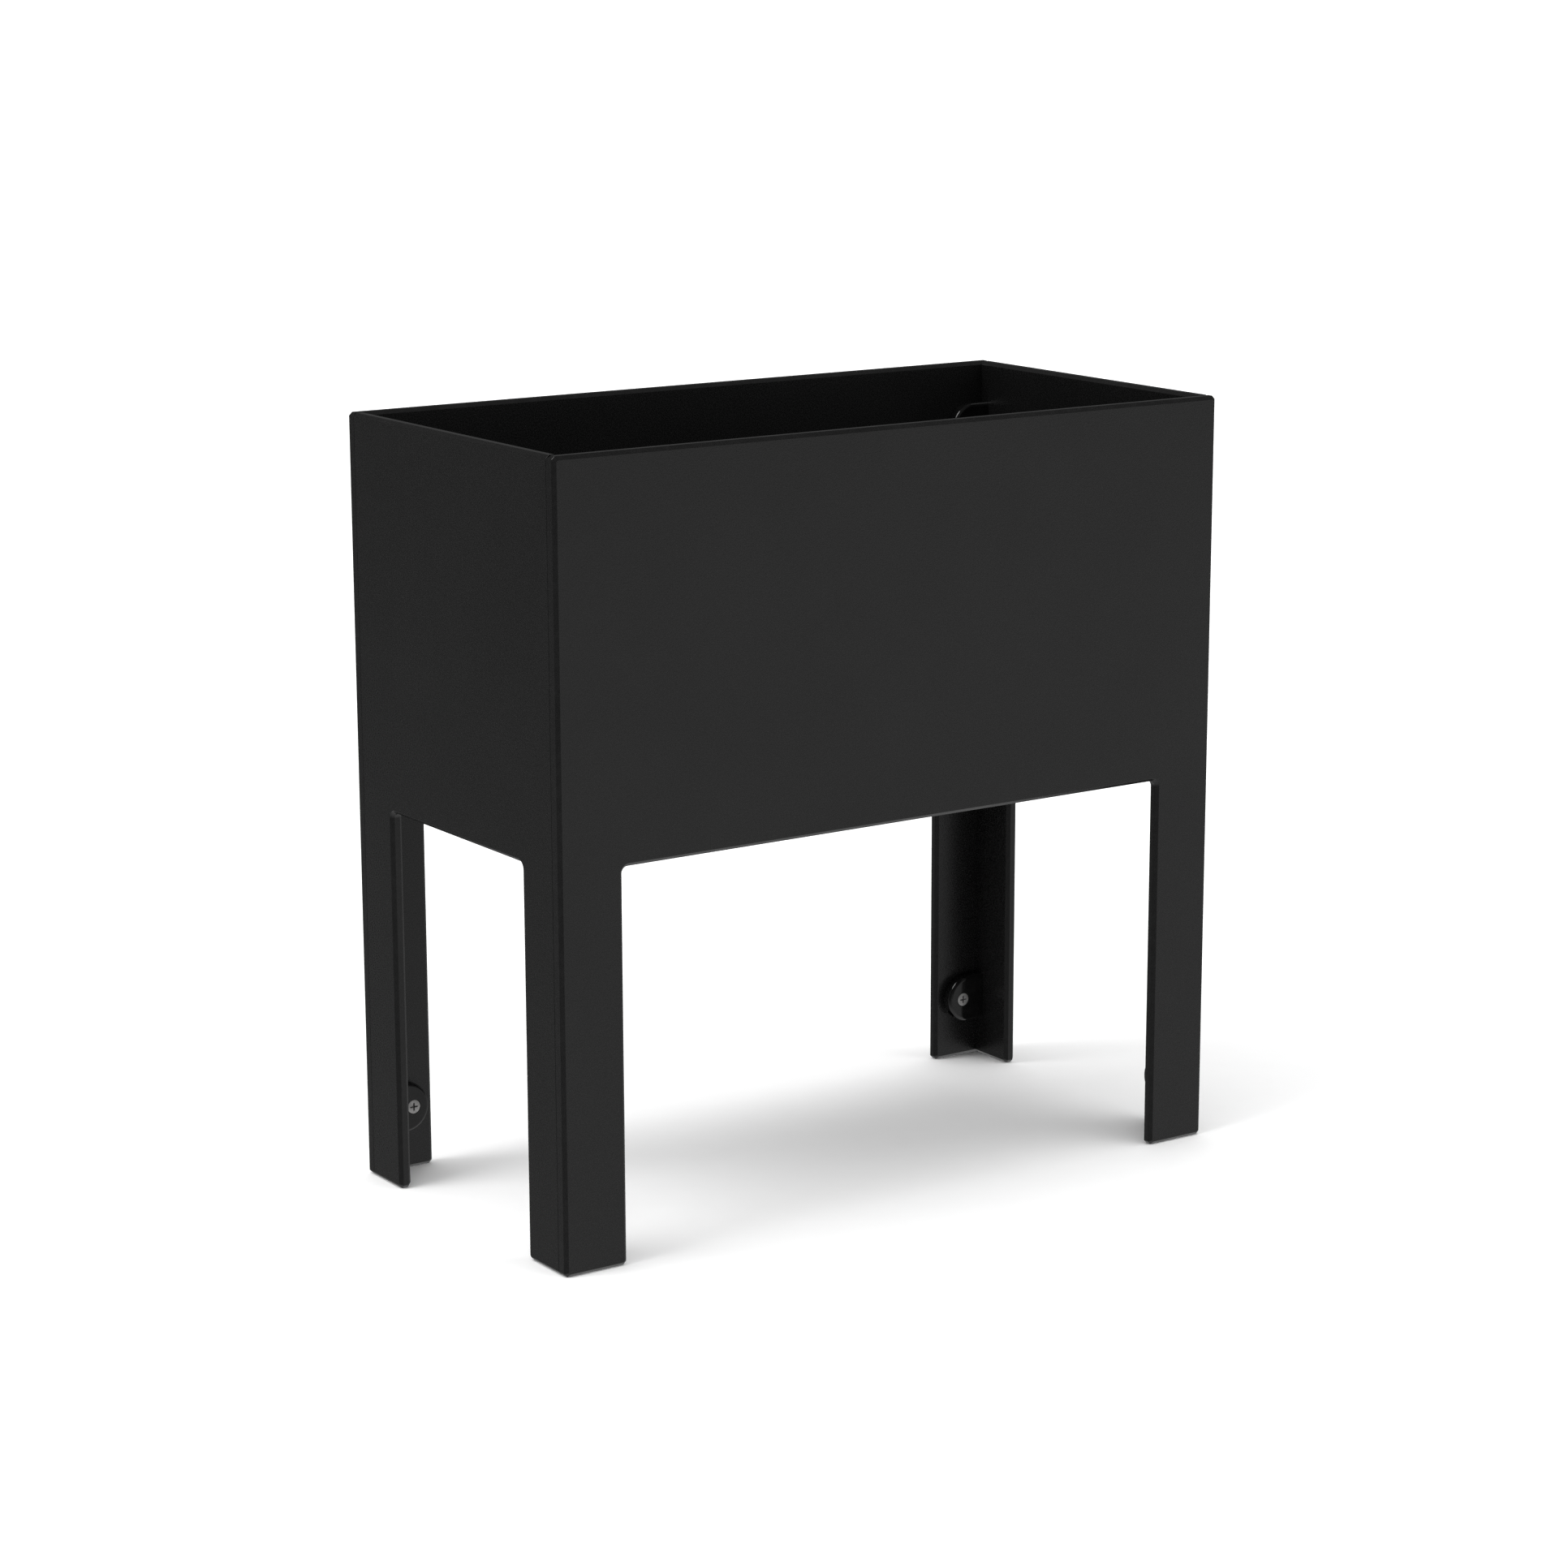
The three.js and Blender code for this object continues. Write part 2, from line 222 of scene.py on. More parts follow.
class Effects:
    """The surface effects that the finishes share, each a shader node group built once.

    A pair of numbers is the two levels between which an effect sets in.
    """

    PEBBLE = (0.1, 0.7)
    PEBBLE_HEIGHT, FINE_HEIGHT = 0.6, 0.7
    FINE_SCALE = 1.9  # beside the pebbles' own
    FLECK = (0.35, 0.75)
    FLECK_POWER = 0.6
    MOTTLE = (0.3, 0.7)
    MARKS_DRIFT = 14.0  # how many lines' width the router's lines wander
    RUBBED = (0.42, 0.68)
    DUST = (0.35, 0.75)
    FACING_UP = (0.5, 0.95)

    def __init__(self) -> None:
        """Builds every group."""
        self.stipple = self._stipple()
        self.mottle = self._mottle()
        self.tool_marks = self._tool_marks()
        self.rubbed = self._rubbed()
        self.dust = self._dust()

    def _stipple(self) -> bpy.types.NodeTree:
        """The pebbled skin of an extruded sheet: a height and a fleck mask.

        Returns:
            The group's node tree.
        """
        net, given, result = new_group("pebbled_skin", {"Scale": 700.0}, ["Height", "Fleck"])
        place, scale = net.place(), given.outputs["Scale"]
        cells = {"Vector": place, "Scale": scale, "Smoothness": 0.6}
        pits = net.add("ShaderNodeTexVoronoi", cells, feature="SMOOTH_F1").outputs["Distance"]
        pebble = net.product(net.ramp(pits, self.PEBBLE, (1.0, 0.0)), self.PEBBLE_HEIGHT)
        fine = net.noise(place, net.product(scale, self.FINE_SCALE), 2.0, 0.6)
        height = net.math("MULTIPLY_ADD", fine, self.FINE_HEIGHT, pebble)
        net.feed(result.inputs["Height"], height)
        flecked = net.ramp(net.noise(place, scale, 1.0), self.FLECK)
        net.feed(result.inputs["Fleck"], net.math("POWER", flecked, self.FLECK_POWER))
        return net.tree

    def _mottle(self) -> bpy.types.NodeTree:
        """Slow changes of tone over a piece, as regrind in the plastic gives.

        Returns:
            The group's node tree.
        """
        net, given, result = new_group("slow_mottle", {"Scale": 9.0}, ["Mottle"])
        tone = net.noise(net.place(), given.outputs["Scale"], 4.0, 0.55)
        net.feed(result.inputs["Mottle"], net.ramp(tone, self.MOTTLE))
        return net.tree

    def _tool_marks(self) -> bpy.types.NodeTree:
        """Fine lines that a router leaves across the edges it cuts.

        Returns:
            The group's node tree.
        """
        net, given, result = new_group("router_marks", {"Pitch": 0.9 * MM}, ["Height"])
        place = net.place()
        parts = net.add("ShaderNodeSeparateXYZ", {0: place}).outputs
        along = net.math("ADD", net.math("ADD", parts[0], parts[1]), parts[2])
        turns = net.math("DIVIDE", along, given.outputs["Pitch"])
        drift = net.product(net.noise(place, 60.0, 2.0), self.MARKS_DRIFT)
        phase = net.product(net.math("ADD", turns, drift), math.tau)
        height = net.math("MULTIPLY_ADD", net.math("SINE", phase), 0.5, 0.5)
        net.feed(result.inputs["Height"], height)
        return net.tree

    def _rubbed(self) -> bpy.types.NodeTree:
        """Patchy rubbing along cut edges.

        Returns:
            The group's node tree.
        """
        net, given, result = new_group("rubbed_edges", {"Edge": 0.0, "Amount": 0.5}, ["Mask"])
        patchy = net.ramp(net.noise(net.place(), 130.0, 5.0, 0.65), self.RUBBED)
        mask = net.product(patchy, given.outputs["Edge"], given.outputs["Amount"])
        net.feed(result.inputs["Mask"], mask)
        return net.tree

    def _dust(self) -> bpy.types.NodeTree:
        """A thin film of dust on what faces up.

        Returns:
            The group's node tree.
        """
        net, given, result = new_group("settled_dust", {"Amount": 0.2}, ["Mask"])
        patchy = net.ramp(net.noise(net.place(), 45.0, 5.0, 0.7), self.DUST)
        normal = net.add("ShaderNodeNewGeometry").outputs["True Normal"]
        up = net.add("ShaderNodeSeparateXYZ", {0: normal}).outputs[2]
        mask = net.product(net.ramp(up, self.FACING_UP), patchy, given.outputs["Amount"])
        net.feed(result.inputs["Mask"], mask)
        return net.tree


# --- Finishes -----------------------------------------------------------------------------------


def grey(level: float, warmth: float = 0.0) -> Colour:
    """A grey colour, with a little red and blue set apart by its warmth."""
    return (level * (1.0 + warmth), level, level * (1.0 - warmth))


class Surface:
    """One material while it is made."""

    def __init__(self, name: str, specular: float = 0.5) -> None:
        """Starts the material with its shader.

        Args:
            name: The material's name.
            specular: How strongly the shader mirrors.
        """
        self.material = bpy.data.materials.new(name)
        self.material.use_nodes = True
        self.material.node_tree.nodes.clear()
        self.net = Net(self.material.node_tree)
        self.shader = self.net.add("ShaderNodeBsdfPrincipled", {"Specular IOR Level": specular})
        self.net.add("ShaderNodeOutputMaterial", {"Surface": self.shader.outputs["BSDF"]})

    def cut(self) -> Socket:
        """Where the piece is machined: 1 there and 0 elsewhere."""
        return self.net.add("ShaderNodeAttribute", attribute_name=CUT_ATTRIBUTE).outputs["Fac"]

    def effect(
        self, group: bpy.types.NodeTree, inputs: dict[str, object] | None = None
    ) -> dict[str, Socket]:
        """Places a shared effect.

        Args:
            group: The effect's node group.
            inputs: This material's own values for it.

        Returns:
            The effect's outputs by name.
        """
        return dict(self.net.add("ShaderNodeGroup", inputs, node_tree=group).outputs.items())

    def paint(self, colour: Socket, *layers: tuple[Socket, Colour]) -> None:
        """Gives the shader its colour.

        Args:
            colour: The colour below.
            *layers: Each mask and the colour laid over where it is 1.
        """
        for mask, over in layers:
            colour = self.net.blend(mask, colour, over)
        self.net.feed(self.shader.inputs["Base Color"], colour)

    def texture(self, roughness: Socket, height: Socket) -> bpy.types.Material:
        """Gives the shader its roughness and relief.

        Args:
            roughness: The roughness.
            height: The relief's height in metres.

        Returns:
            The finished material.
        """
        self.net.feed(self.shader.inputs["Roughness"], roughness)
        relief = {"Height": height, "Distance": 1.0, "Strength": 1.0}
        bump = self.net.add("ShaderNodeBump", relief)
        self.net.feed(self.shader.inputs["Normal"], bump.outputs["Normal"])
        return self.material


@dataclass(frozen=True)
class SheetFinish:
    """Solid plastic sheet: a pebbled skin on its faces and smooth routed edges."""

    name: str = "planter_sheet"
    colour: Colour = grey(0.0040)
    fleck_colour: Colour = grey(0.0075)
    rubbed_colour: Colour = grey(0.008)
    dust_colour: Colour = grey(0.03, 0.03)
    roughness: float = 0.20
    fleck_roughness: float = 0.10
    cut_roughness: float = 0.06
    grain_scale: float = 720.0
    grain_depth: float = 0.08 * MM
    marks_pitch: float = 0.9 * MM
    marks_depth: float = 0.008 * MM
    fleck_share: float = 0.75  # of the tone; the mottle makes the rest
    fleck_on_cuts: float = 0.25
    rubbing: float = 0.5
    dust: float = 0.05

    def material(self, effects: Effects) -> bpy.types.Material:
        """Makes the material.

        Args:
            effects: The shared surface effects.

        Returns:
            The material.
        """
        surface = Surface(self.name)
        net, cut = surface.net, surface.cut()
        skin = net.math("SUBTRACT", 1.0, cut)
        stipple = surface.effect(effects.stipple, {"Scale": self.grain_scale})
        mottle = surface.effect(effects.mottle)["Mottle"]
        marks = surface.effect(effects.tool_marks, {"Pitch": self.marks_pitch})
        rubbed = surface.effect(effects.rubbed, {"Edge": cut, "Amount": self.rubbing})
        dust = surface.effect(effects.dust, {"Amount": self.dust})

        shown = net.ramp(skin, (0.0, 1.0), (self.fleck_on_cuts, 1.0))
        fleck = net.product(stipple["Fleck"], shown)
        flecked = net.product(fleck, self.fleck_share)
        tone = net.math("MULTIPLY_ADD", mottle, 1.0 - self.fleck_share, flecked)
        base = net.blend(tone, self.colour, self.fleck_colour)
        worn, dusty = (rubbed["Mask"], self.rubbed_colour), (dust["Mask"], self.dust_colour)
        surface.paint(base, worn, dusty)

        rough_skin = net.math("MULTIPLY_ADD", fleck, self.fleck_roughness, self.roughness)
        rough_cut = net.math("MULTIPLY_ADD", mottle, self.cut_roughness, self.roughness)
        rough = net.add("ShaderNodeMix", {0: cut, 2: rough_skin, 3: rough_cut}).outputs[0]
        grain = net.product(stipple["Height"], skin, self.grain_depth)
        routed = net.product(marks["Height"], cut, self.marks_depth)
        return surface.texture(rough, net.math("ADD", grain, routed))


@dataclass(frozen=True)
class MouldedFinish:
    """Glossy injection-moulded plastic."""

    name: str = "planter_bracket_plastic"
    colour: Colour = grey(0.0022)
    light_colour: Colour = grey(0.004)
    rubbed_colour: Colour = grey(0.012)
    dust_colour: Colour = grey(0.04, 0.03)
    roughness: float = 0.09
    flow_roughness: float = 0.04
    flow_scale: float = 60.0
    grain_scale: float = 1500.0
    grain_depth: float = 0.004 * MM
    rubbing: float = 0.35
    dust: float = 0.03

    def material(self, effects: Effects) -> bpy.types.Material:
        """Makes the material.

        Args:
            effects: The shared surface effects.

        Returns:
            The material.
        """
        surface = Surface(self.name)
        net = surface.net
        stipple = surface.effect(effects.stipple, {"Scale": self.grain_scale})
        flow = surface.effect(effects.mottle, {"Scale": self.flow_scale})["Mottle"]
        rubbed = surface.effect(effects.rubbed, {"Edge": surface.cut(), "Amount": self.rubbing})
        dust = surface.effect(effects.dust, {"Amount": self.dust})
        base = net.blend(flow, self.colour, self.light_colour)
        worn, dusty = (rubbed["Mask"], self.rubbed_colour), (dust["Mask"], self.dust_colour)
        surface.paint(base, worn, dusty)
        rough = net.math("MULTIPLY_ADD", flow, self.flow_roughness, self.roughness)
        return surface.texture(rough, net.product(stipple["Height"], self.grain_depth))


@dataclass(frozen=True)
class PlatedSteelFinish:
    """Zinc-plated steel with a brushed bloom, and painted shade darkening the driver recess, with
    patchy grime in it.
    """

    name: str = "planter_screw_steel"
    colour: Colour = grey(0.36, 0.01)
    dull_colour: Colour = grey(0.27, 0.02)
    # the driver recess's colour: painted shade, with patchy grime
    shade_and_grime_colour: Colour = grey(0.02, 0.05)
    roughness: float = 0.30
    bloom_roughness: float = 0.16
    bloom_scale: float = 260.0
    scratch_scale: float = 2600.0
    scratch_depth: float = 0.004 * MM
    # how dark the whole driver recess is painted: painted shade
    shade_and_grime: float = 0.65
    patchy_grime: float = 0.3
    shade_and_grime_span: Point2 = (0.0, 0.7)
    metal: Point2 = (0.6, 0.3)  # how metallic it is, clean and where painted shade and grime darken the recess

    def material(self, effects: Effects) -> bpy.types.Material:
        """Makes the material.

        Args:
            effects: The shared surface effects.

        Returns:
            The material.
        """
        surface = Surface(self.name)
        net, recess = surface.net, surface.cut()
        bloom = surface.effect(effects.mottle, {"Scale": self.bloom_scale})["Mottle"]
        fine = surface.effect(effects.stipple, {"Scale": self.scratch_scale})
        patchy = surface.effect(effects.rubbed, {"Edge": recess, "Amount": self.patchy_grime})
        # Painted shade: the whole recess is painted darker, and patchy grime is added on top.
        shade_and_grime = net.math("MULTIPLY_ADD", recess, self.shade_and_grime, patchy["Mask"])
        surface.paint(
            net.blend(bloom, self.colour, self.dull_colour), (shade_and_grime, self.shade_and_grime_colour)
        )
        metallic = net.ramp(shade_and_grime, self.shade_and_grime_span, self.metal)
        net.feed(surface.shader.inputs["Metallic"], metallic)
        rough = net.math("MULTIPLY_ADD", bloom, self.bloom_roughness, self.roughness)
        return surface.texture(rough, net.product(fine["Height"], self.scratch_depth))


@dataclass(frozen=True)
class Finishes:
    """The materials that the pieces take, each made once."""

    sheet: bpy.types.Material
    floor: bpy.types.Material
    bracket: bpy.types.Material
    screw: bpy.types.Material

    @classmethod
    def made(cls) -> Finishes:
        """Builds the shared effects and the four materials.

        Returns:
            The materials.
        """
        effects = Effects()
        floor = SheetFinish(name="planter_floor_sheet", dust=0.16, grain_scale=640.0)
        return cls(
            sheet=SheetFinish().material(effects),
            floor=floor.material(effects),
            bracket=MouldedFinish().material(effects),
            screw=PlatedSteelFinish().material(effects),
        )


class Slot(Enum):
    """The record's material slots."""

    SHEET = "sheet_plastic"
    BRACKET = "bracket_plastic"
    SCREW = "screw_metal"


# --- Mesh building ------------------------------------------------------------------------------


class Shell:
    """Collects points and faces, then makes a closed mesh of them."""

    def __init__(self) -> None:
        """Starts empty."""
        self.points: list[Vector] = []
        self.faces: list[tuple[int, ...]] = []
        self.cut: list[float] = []

    def ring(self, points: list[Vector]) -> list[int]:
        """Adds points.

        Args:
            points: The points of one ring.

        Returns:
            The points' numbers.
        """
        start = len(self.points)
        self.points.extend(points)
        return list(range(start, len(self.points)))

    def face(self, corners: list[int], cut: float = 0.0) -> None:
        """Adds a face, cut giving how much of a machined surface it is."""
        self.faces.append(tuple(corners))
        self.cut.append(cut)

    def band(self, low: list[int], high: list[int], cut: float) -> None:
        """Joins two rings with quads that face right of the rings' direction.

        Args:
            low: The ring of point numbers that comes first.
            high: The ring beside it, with as many points.
            cut: How much of a machined surface the band is.
        """
        for i in range(len(low)):
            j = (i + 1) % len(low)
            self.face([low[i], low[j], high[j], high[i]], cut)

    def bands(self, rings: list[list[int]], cuts: list[float]) -> None:
        """Joins each ring with the next.

        Args:
            rings: The rings in order.
            cuts: How much of a machined surface each band is.
        """
        for low, high, cut in zip(rings, rings[1:], cuts):
            self.band(low, high, cut)

    def mesh(self, name: str, matrix: Matrix | None = None) -> bpy.types.Mesh:
        """Makes the mesh, with doubled points merged.

        Args:
            name: The mesh's name.
            matrix: Where to place it.

        Returns:
            The mesh, with its faces smooth and marked as cut or moulded.
        """
        data = bpy.data.meshes.new(name)
        data.from_pydata([tuple(p) for p in self.points], [], self.faces)
        data.attributes.new(CUT_ATTRIBUTE, "FLOAT", "FACE").data.foreach_set("value", self.cut)
        if matrix is not None:
            data.transform(matrix)
        shape = bmesh.new()
        shape.from_mesh(data)
        bmesh.ops.remove_doubles(shape, verts=shape.verts, dist=MERGE)
        bmesh.ops.dissolve_degenerate(shape, edges=shape.edges, dist=SLIVER)
        for face in shape.faces:
            face.smooth = True
        shape.to_mesh(data)
        shape.free()
        return data


def open_edges(data: bpy.types.Mesh) -> int:
    """Counts the edges that don't have exactly two faces.

    Args:
        data: The mesh.

    Returns:
        How many there are: none on a closed mesh.
    """
    shape = bmesh.new()
    shape.from_mesh(data)
    loose = sum(1 for edge in shape.edges if len(edge.link_faces) != 2)
    shape.free()
    return loose


def face_outwards(data: bpy.types.Mesh) -> None:
    """Turns every face outwards.

    Args:
        data: A mesh of closed shells.
    """
    shape = bmesh.new()
    shape.from_mesh(data)
    bmesh.ops.recalc_face_normals(shape, faces=shape.faces)
    shape.to_mesh(data)
    shape.free()


def new_object(name: str, data: bpy.types.Mesh, material: bpy.types.Material) -> bpy.types.Object:
    """Puts a mesh in the scene as a piece.

    Args:
        name: The piece's name.
        data: Its mesh.
        material: Its material.

    Returns:
        The piece's object.
    """
    data.materials.clear()
    data.materials.append(material)
    piece = bpy.data.objects.new(name, data)
    bpy.context.scene.collection.objects.link(piece)
    return piece


def round_arrises(piece: bpy.types.Object, width: float, segments: int = 2) -> None:
    """Rounds a piece's sharp edges a little.

    Args:
        piece: The piece.
        width: How far the rounding reaches from each edge.
        segments: How many facets each rounding has.
    """
    bevel = piece.modifiers.new("arris", "BEVEL")
    bevel.width = width
    bevel.segments = segments
    bevel.limit_method = "ANGLE"
    bevel.angle_limit = ARRIS_ANGLE
    bevel.harden_normals = True
    bevel.use_clamp_overlap = True


def hand_over(piece: bpy.types.Object, slot: Slot, nodes: list[str]) -> None:
    """Makes a piece ride on the planter and stand for its CAD nodes.

    Args:
        piece: The piece.
        slot: Not used.
        nodes: The CAD nodes it stands for.
    """
    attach(piece, "root")
    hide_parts(*nodes)
    loose = open_edges(piece.data)
    LOG.info("%s stands for %d nodes; open edges %d", piece.name, len(nodes), loose)


# --- Sizes --------------------------------------------------------------------------------------


@dataclass(frozen=True)
class PlanterSizes:
    """The sizes that place every piece, read from the frame."""

    half_width: float
    half_depth: float
    height: float
    sheet: float
    side_half: float
    floor_underside: float
    floor_half_width: float
    floor_half_depth: float
    gap: float = 0.3 * MM

    @classmethod
    def measured(cls) -> PlanterSizes:
        """Reads the sizes from the frame's own boxes.

        Returns:
            The sizes.
        """
        front_low, front_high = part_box("front_panel")
        side_low, side_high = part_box("right_panel")
        floor_low, floor_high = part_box("floor_panel")
        return cls(
            half_width=front_high.x,
            half_depth=-front_low.y,
            height=front_high.z,
            sheet=front_high.y - front_low.y,
            side_half=(side_high.y - side_low.y) / 2,
            floor_underside=floor_low.z,
            floor_half_width=floor_high.x,
            floor_half_depth=floor_high.y,
        )

    @property
    def inner_half_width(self) -> float:
        """From the middle to a side wall's inner face."""
        return self.half_width - self.sheet

    @property
    def inner_half_depth(self) -> float:
        """From the middle to a long wall's inner face."""
        return self.half_depth - self.sheet


class Side(Enum):
    """The four walls, each with its quarter turns about Z from the front one."""

    FRONT = 0
    RIGHT = 1
    BACK = 2
    LEFT = 3


class Edge(Enum):
    """What an edge of a wall's outline does."""

    OPEN = "shows on both faces"
    END = "meets the next wall"


# --- Walls --------------------------------------------------------------------------------------


@dataclass
class Wall:
    """One wall: a sheet with a round-cornered window below, so that it ends in two legs."""

    side: Side
    sizes: PlanterSizes
    chamfer: float = 3.4 * MM
    leg_width: float = 67.6 * MM
    window_top: float = 381.0 * MM
    window_radius: float = 6.35 * MM
    arris: float = 0.35 * MM
    fillet_steps: int = 14

    @property
    def is_long(self) -> bool:
        """Whether this is a front or back wall, whose ends show."""
        return self.side in (Side.FRONT, Side.BACK)

    def outline(self) -> list[tuple[Point2, Edge]]:
        """The wall's corners seen from outside, counterclockwise, each with its edge.

        Returns:
            The corners, from the left leg's inner foot, each with what its next edge does.
        """
        sizes = self.sizes
        half = sizes.half_width if self.is_long else sizes.side_half
        outer = sizes.half_width if self.is_long else sizes.half_depth
        window = outer - self.leg_width
        round_, cut = self.window_radius, self.chamfer
        springing = self.window_top - round_
        corners: list[tuple[Point2, Edge]] = [((-window - cut, 0.0), Edge.OPEN)]
        corners.append(((-window, cut), Edge.OPEN))
        for centre, start, end in ((-window + round_, 180, 90), (window - round_, 90, 0)):
            for step in range(self.fillet_steps + 1):
                angle = math.radians(start + (end - start) * step / self.fillet_steps)
                x = centre + round_ * math.cos(angle)
                corners.append(((x, springing + round_ * math.sin(angle)), Edge.OPEN))
        corners += [((window, cut), Edge.OPEN), ((window + cut, 0.0), Edge.OPEN)]
        height = sizes.height
        if self.is_long:
            corners += [((half - cut, 0.0), Edge.END), ((half, cut), Edge.END)]
            corners += [((half, height - cut), Edge.END), ((half - cut, height), Edge.OPEN)]
            corners += [((-half + cut, height), Edge.END), ((-half, height - cut), Edge.END)]
            corners += [((-half, cut), Edge.END), ((-half + cut, 0.0), Edge.OPEN)]
        else:
            corners += [((half, 0.0), Edge.END), ((half, height), Edge.OPEN)]
            corners += [((-half, height), Edge.END), ((-half, 0.0), Edge.OPEN)]
        return corners

    @staticmethod
    def drawn_in(corners: list[tuple[Point2, Edge]], insets: dict[Edge, float]) -> list[Point2]:
        """The outline with each edge moved inwards by its own inset.

        Args:
            corners: The outline's corners and edges.
            insets: How far each kind of edge moves.

        Returns:
            The moved corners.
        """
        moved = []
        for i, (here, edge) in enumerate(corners):
            (before, edge_before), (after, _) = corners[i - 1], corners[(i + 1) % len(corners)]
            d0 = Vector((here[0] - before[0], here[1] - before[1])).normalized()
            d1 = Vector((after[0] - here[0], after[1] - here[1])).normalized()
            n0, n1 = Vector((-d0.y, d0.x)), Vector((-d1.y, d1.x))
            a0, a1 = insets[edge_before], insets[edge]
            turn = n0.x * n1.y - n0.y * n1.x
            if abs(turn) < NIL:
                moved.append((here[0] + n0.x * a0, here[1] + n0.y * a0))
                continue
            x = (a0 * n1.y - a1 * n0.y) / turn
            y = (a1 * n0.x - a0 * n1.x) / turn
            moved.append((here[0] + x, here[1] + y))
        return moved

    def mesh(self) -> bpy.types.Mesh:
        """The wall's two faces, its edge and the chamfers between them.

        Returns:
            The wall's mesh.
        """
        corners = self.outline()
        flat = {Edge.OPEN: 0.0, Edge.END: 0.0}
        inner = {Edge.OPEN: self.chamfer, Edge.END: 0.0}
        outer = {Edge.OPEN: self.chamfer, Edge.END: self.chamfer if self.is_long else 0.0}
        thickness = self.sizes.sheet
        levels = [(0.0, inner), (self.chamfer, flat)]
        levels += [(thickness - self.chamfer, flat), (thickness, outer)]
        inside = self.sizes.inner_half_depth if self.is_long else self.sizes.inner_half_width
        shell = Shell()
        rings = []
        for depth, insets in levels:
            points = self.drawn_in(corners, insets)
            rings.append(shell.ring([Vector((x, -inside - depth, z)) for x, z in points]))
        shell.bands(rings, [1.0] * 3)
        shell.face(rings[-1])
        shell.face(rings[0][::-1])
        turn = Matrix.Rotation(self.side.value * QUARTER_TURN, 4, "Z")
        return shell.mesh(f"{self.side.name.lower()}_wall", turn)

    def build(self, finishes: Finishes) -> bpy.types.Object:
        """Makes the wall and dresses it.

        Args:
            finishes: The planter's materials.

        Returns:
            The wall's object.
        """
        name = self.side.name.lower()
        piece = new_object(f"{name}_wall", self.mesh(), finishes.sheet)
        round_arrises(piece, self.arris)
        hand_over(piece, Slot.SHEET, [f"{name}_panel"])
        return piece


# --- Geometry node patterns ---------------------------------------------------------------------


class Pattern:
    """A geometry node tree that repeats the mesh it is given, and sets its material."""

    def __init__(self, name: str, sizes: dict[str, float]) -> None:
        """Starts a tree with geometry in and out, a material and named sizes.

        Args:
            name: The tree's name.
            sizes: Each size input and its default.
        """
        self.tree = bpy.data.node_groups.new(name, "GeometryNodeTree")
        face = self.tree.interface
        face.new_socket("Shape", in_out="INPUT", socket_type="NodeSocketGeometry")
        face.new_socket("Material", in_out="INPUT", socket_type="NodeSocketMaterial")
        for size, value in sizes.items():
            made = face.new_socket(size, in_out="INPUT", socket_type="NodeSocketFloat")
            made.default_value = value
        face.new_socket("Pieces", in_out="OUTPUT", socket_type="NodeSocketGeometry")
        self.net = Net(self.tree)
        self.given = self.net.add("NodeGroupInput").outputs
        self.result = self.net.add("NodeGroupOutput").inputs

    def repeat(self, count: object, position: Socket, turns: object, hand: object = 1.0) -> Socket:
        """Places copies of the shape.

        Args:
            count: How many.
            position: Each copy's place.
            turns: Each copy's quarter turns about Z.
            hand: 1 for each plain copy and -1 for each one mirrored left to right.

        Returns:
            The copies' geometry.
        """
        net = self.net
        line = net.add("GeometryNodeMeshLine", {"Count": count})
        placed = net.add("GeometryNodeSetPosition", {0: line.outputs[0], "Position": position})
        turned = net.point(z=net.product(turns, QUARTER_TURN))
        rotation = net.add("FunctionNodeEulerToRotation", {0: turned}).outputs[0]
        inputs = {"Points": placed.outputs[0], "Instance": self.given["Shape"]}
        inputs |= {"Rotation": rotation, "Scale": net.point(hand, 1.0, 1.0)}
        return net.add("GeometryNodeInstanceOnPoints", inputs).outputs[0]

    def index(self) -> Socket:
        """The number of each copy, from 0."""
        return self.net.add("GeometryNodeInputIndex").outputs[0]

    def finish(self, *parts: Socket, merge: float = 0.0) -> None:
        """Joins the parts, realizes them, gives them the material and ends the tree.

        Args:
            *parts: The geometry to put out.
            merge: The distance below which points become one, or 0.
        """
        net = self.net
        joined = net.add("GeometryNodeJoinGeometry")
        for part in reversed(parts):
            self.tree.links.new(part, joined.inputs[0])
        last = net.add("GeometryNodeRealizeInstances", {0: joined.outputs[0]}).outputs[0]
        if merge:
            last = net.add("GeometryNodeMergeByDistance", {0: last, "Distance": merge}).outputs[0]
        dressed = net.add("GeometryNodeSetMaterial", {0: last, "Material": self.given["Material"]})
        self.tree.links.new(dressed.outputs[0], self.result["Pieces"])

    def grown(
        self,
        name: str,
        shape: bpy.types.Mesh,
        material: bpy.types.Material,
        sizes: dict[str, float],
    ) -> bpy.types.Object:
        """Runs the tree on a mesh and keeps the result as a plain mesh.

        Args:
            name: The piece's name.
            shape: The mesh to repeat.
            material: The piece's material.
            sizes: The values of the size inputs.

        Returns:
            The piece's object.
        """
        source = new_object(name + "_shape", shape, material)
        modifier = source.modifiers.new("pattern", "NODES")
        modifier.node_group = self.tree
        keys = {
            item.name: item.identifier
            for item in self.tree.interface.items_tree
            if item.item_type == "SOCKET" and item.in_out == "INPUT"
        }
        modifier[keys["Material"]] = material
        for size, value in sizes.items():
            modifier[keys[size]] = value
        graph = bpy.context.evaluated_depsgraph_get()
        made = bpy.data.meshes.new_from_object(source.evaluated_get(graph), depsgraph=graph)
        source.modifiers.clear()
        bpy.data.objects.remove(source)
        bpy.data.meshes.remove(shape)
        made.name = name
        face_outwards(made)
        return new_object(name, made, material)


